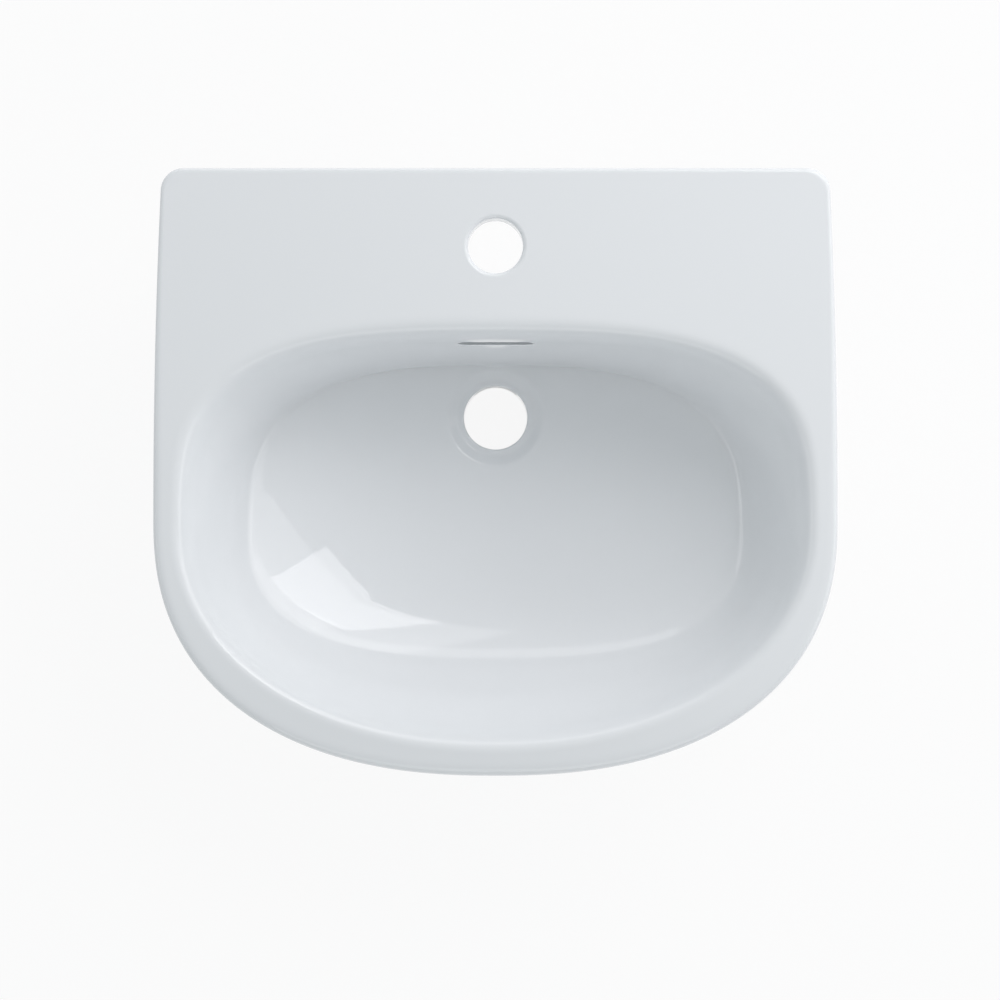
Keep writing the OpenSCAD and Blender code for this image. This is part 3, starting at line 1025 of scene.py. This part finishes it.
def softbox(name, target, azimuth, elevation, distance, size, brightness, tint=(1, 1, 1)):
    """An area light. The azimuth is anticlockwise from +X, seen from above. At brightness 1 its
    face is as white as the background, so it doesn't show in the glaze."""
    light = bpy.data.lights.new(name, "AREA")
    light.shape = "RECTANGLE"
    light.size, light.size_y = size
    light.energy = math.pi * size[0] * size[1] * brightness
    light.color = tint
    lamp = bpy.data.objects.new(name, light)
    bpy.context.scene.collection.objects.link(lamp)
    a, e = math.radians(azimuth), math.radians(elevation)
    lamp.location = Vector(target) + distance * Vector(
        (math.cos(e) * math.cos(a), math.cos(e) * math.sin(a), math.sin(e)))
    aim(lamp, target)
    lamp.visible_camera = False
    return lamp


def seen_white(tree, shader_output, share_white, target):
    """Show a share of plain white to the camera and in reflections and glass."""
    path = add(tree, "ShaderNodeLightPath")
    seen = calculate(tree, "MAXIMUM", path.outputs["Is Camera Ray"], path.outputs["Is Glossy Ray"])
    seen = calculate(tree, "MAXIMUM", seen, path.outputs["Is Transmission Ray"])
    factor = calculate(tree, "MULTIPLY", seen, share_white)
    white = add(tree, "ShaderNodeEmission", set_Color=(1, 1, 1, 1), set_Strength=1.0)
    join = add(tree, "ShaderNodeMixShader")
    tree.links.new(factor, join.inputs[0])
    tree.links.new(shader_output, join.inputs[1])
    tree.links.new(white.outputs[0], join.inputs[2])
    tree.links.new(join.outputs[0], target)


def floor_material(colour_value):
    material, tree, shader = new_material("pale_floor")
    base = tuple(colour_value)
    cloud = blend_colours(tree, noise(tree, 3, 3), tinted(base, 0.99), tinted(base, 1.01))
    tree.links.new(cloud, shader.inputs["Base Color"])
    shader.inputs["Roughness"].default_value = 0.8
    seen_white(tree, shader.outputs[0], 0.9, tree.nodes["Material Output"].inputs["Surface"])
    return material


class BASIN_OT_studio(bpy.types.Operator):
    """Set up the floor, the lights, the background and the camera"""
    bl_idname = "basin.studio"
    bl_label = "Studio"

    def execute(self, context):
        studio = context.scene.basin_studio
        scene = context.scene
        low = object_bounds()[0]
        half = 4.0
        points = [(-half, -half, low[2]), (half, -half, low[2]), (half, half, low[2]),
                  (-half, half, low[2])]
        floor = new_piece("floor", mesh_of("floor", points, [(0, 1, 2, 3)]))
        floor.data.materials.append(floor_material(studio.floor_colour))
        floor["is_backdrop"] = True

        world = bpy.data.worlds.new("studio")
        world.use_nodes = True
        tree = world.node_tree
        light = tree.nodes["Background"]
        light.inputs["Color"].default_value = (0.94, 1.0, 1.03, 1)
        light.inputs["Strength"].default_value = studio.ambient
        seen_white(tree, light.outputs[0], 1.0, tree.nodes["World Output"].inputs["Surface"])
        scene.world = world

        centre = (0, -0.2, 0)
        warm = (1.0, 0.975, 0.985)
        soft = studio.soft_brightness
        key = softbox("key", centre, 56.5, 48.0, 2.0, (0.8, 0.8), studio.key_brightness, warm)
        key.rotation_euler.rotate_axis("Z", math.radians(-18))
        softbox("fill", centre, 45, 40, 2.3, (2.9, 1.45), soft, warm)
        softbox("low", centre, 45, 25, 1.5, (0.76, 0.76), soft, warm)
        for name, azimuth, height in (("right", 0, 0.76), ("rear", 90, 0.80), ("left", 180, 0.42),
                                      ("front", 270, 0.88)):
            softbox(f"{name}_strip", centre, azimuth, 20, 2.2, (2.4, height), soft)

        lens = bpy.data.cameras.new("camera")
        lens.sensor_width = 36
        lens.lens = studio.focal_length
        lens.shift_x, lens.shift_y = 0.003, -0.03
        lens.clip_start = 0.05
        camera = bpy.data.objects.new("camera", lens)
        scene.collection.objects.link(camera)
        camera.location = (0.001, -0.198, studio.camera_height)
        camera.rotation_euler = (0, 0, 0)
        scene.camera = camera
        scene.view_settings.view_transform = "Standard"
        return {"FINISHED"}


class BASIN_PT_panel(bpy.types.Panel):
    """Lists what can be built, with its sizes and colours"""
    bl_idname = "BASIN_PT_panel"
    bl_label = "Semi-countertop basin"
    bl_space_type = "VIEW_3D"
    bl_region_type = "UI"
    bl_category = "Basin"

    def draw(self, context):
        groups = (
            (context.scene.basin_ceramic, ("ceramic",)),
            (context.scene.basin_fixings,
             ("inserts", "studs", "washers", "claws", "pads", "wing_nuts")),
            (context.scene.basin_studio, ("studio",)),
        )
        for settings, names in groups:
            box = self.layout.box()
            for key in settings.__annotations__:
                box.prop(settings, key)
            for name in names:
                box.operator(f"basin.{name}")


CLASSES = (
    CeramicSettings, FixingSettings, StudioSettings,
    BASIN_OT_ceramic, BASIN_OT_inserts, BASIN_OT_studs, BASIN_OT_washers, BASIN_OT_claws,
    BASIN_OT_pads, BASIN_OT_wing_nuts, BASIN_OT_studio, BASIN_PT_panel,
)


def register():
    for cls in CLASSES:
        bpy.utils.register_class(cls)
    bpy.types.Scene.basin_ceramic = PointerProperty(type=CeramicSettings)
    bpy.types.Scene.basin_fixings = PointerProperty(type=FixingSettings)
    bpy.types.Scene.basin_studio = PointerProperty(type=StudioSettings)


def unregister():
    del bpy.types.Scene.basin_ceramic, bpy.types.Scene.basin_fixings, bpy.types.Scene.basin_studio
    for cls in reversed(CLASSES):
        bpy.utils.unregister_class(cls)


def main():
    register()
    bpy.ops.basin.ceramic()
    bpy.ops.basin.inserts()
    bpy.ops.basin.studs()
    bpy.ops.basin.washers()
    bpy.ops.basin.claws()
    bpy.ops.basin.pads()
    bpy.ops.basin.wing_nuts()
    bpy.ops.basin.studio()


if __name__ == "__main__":
    main()
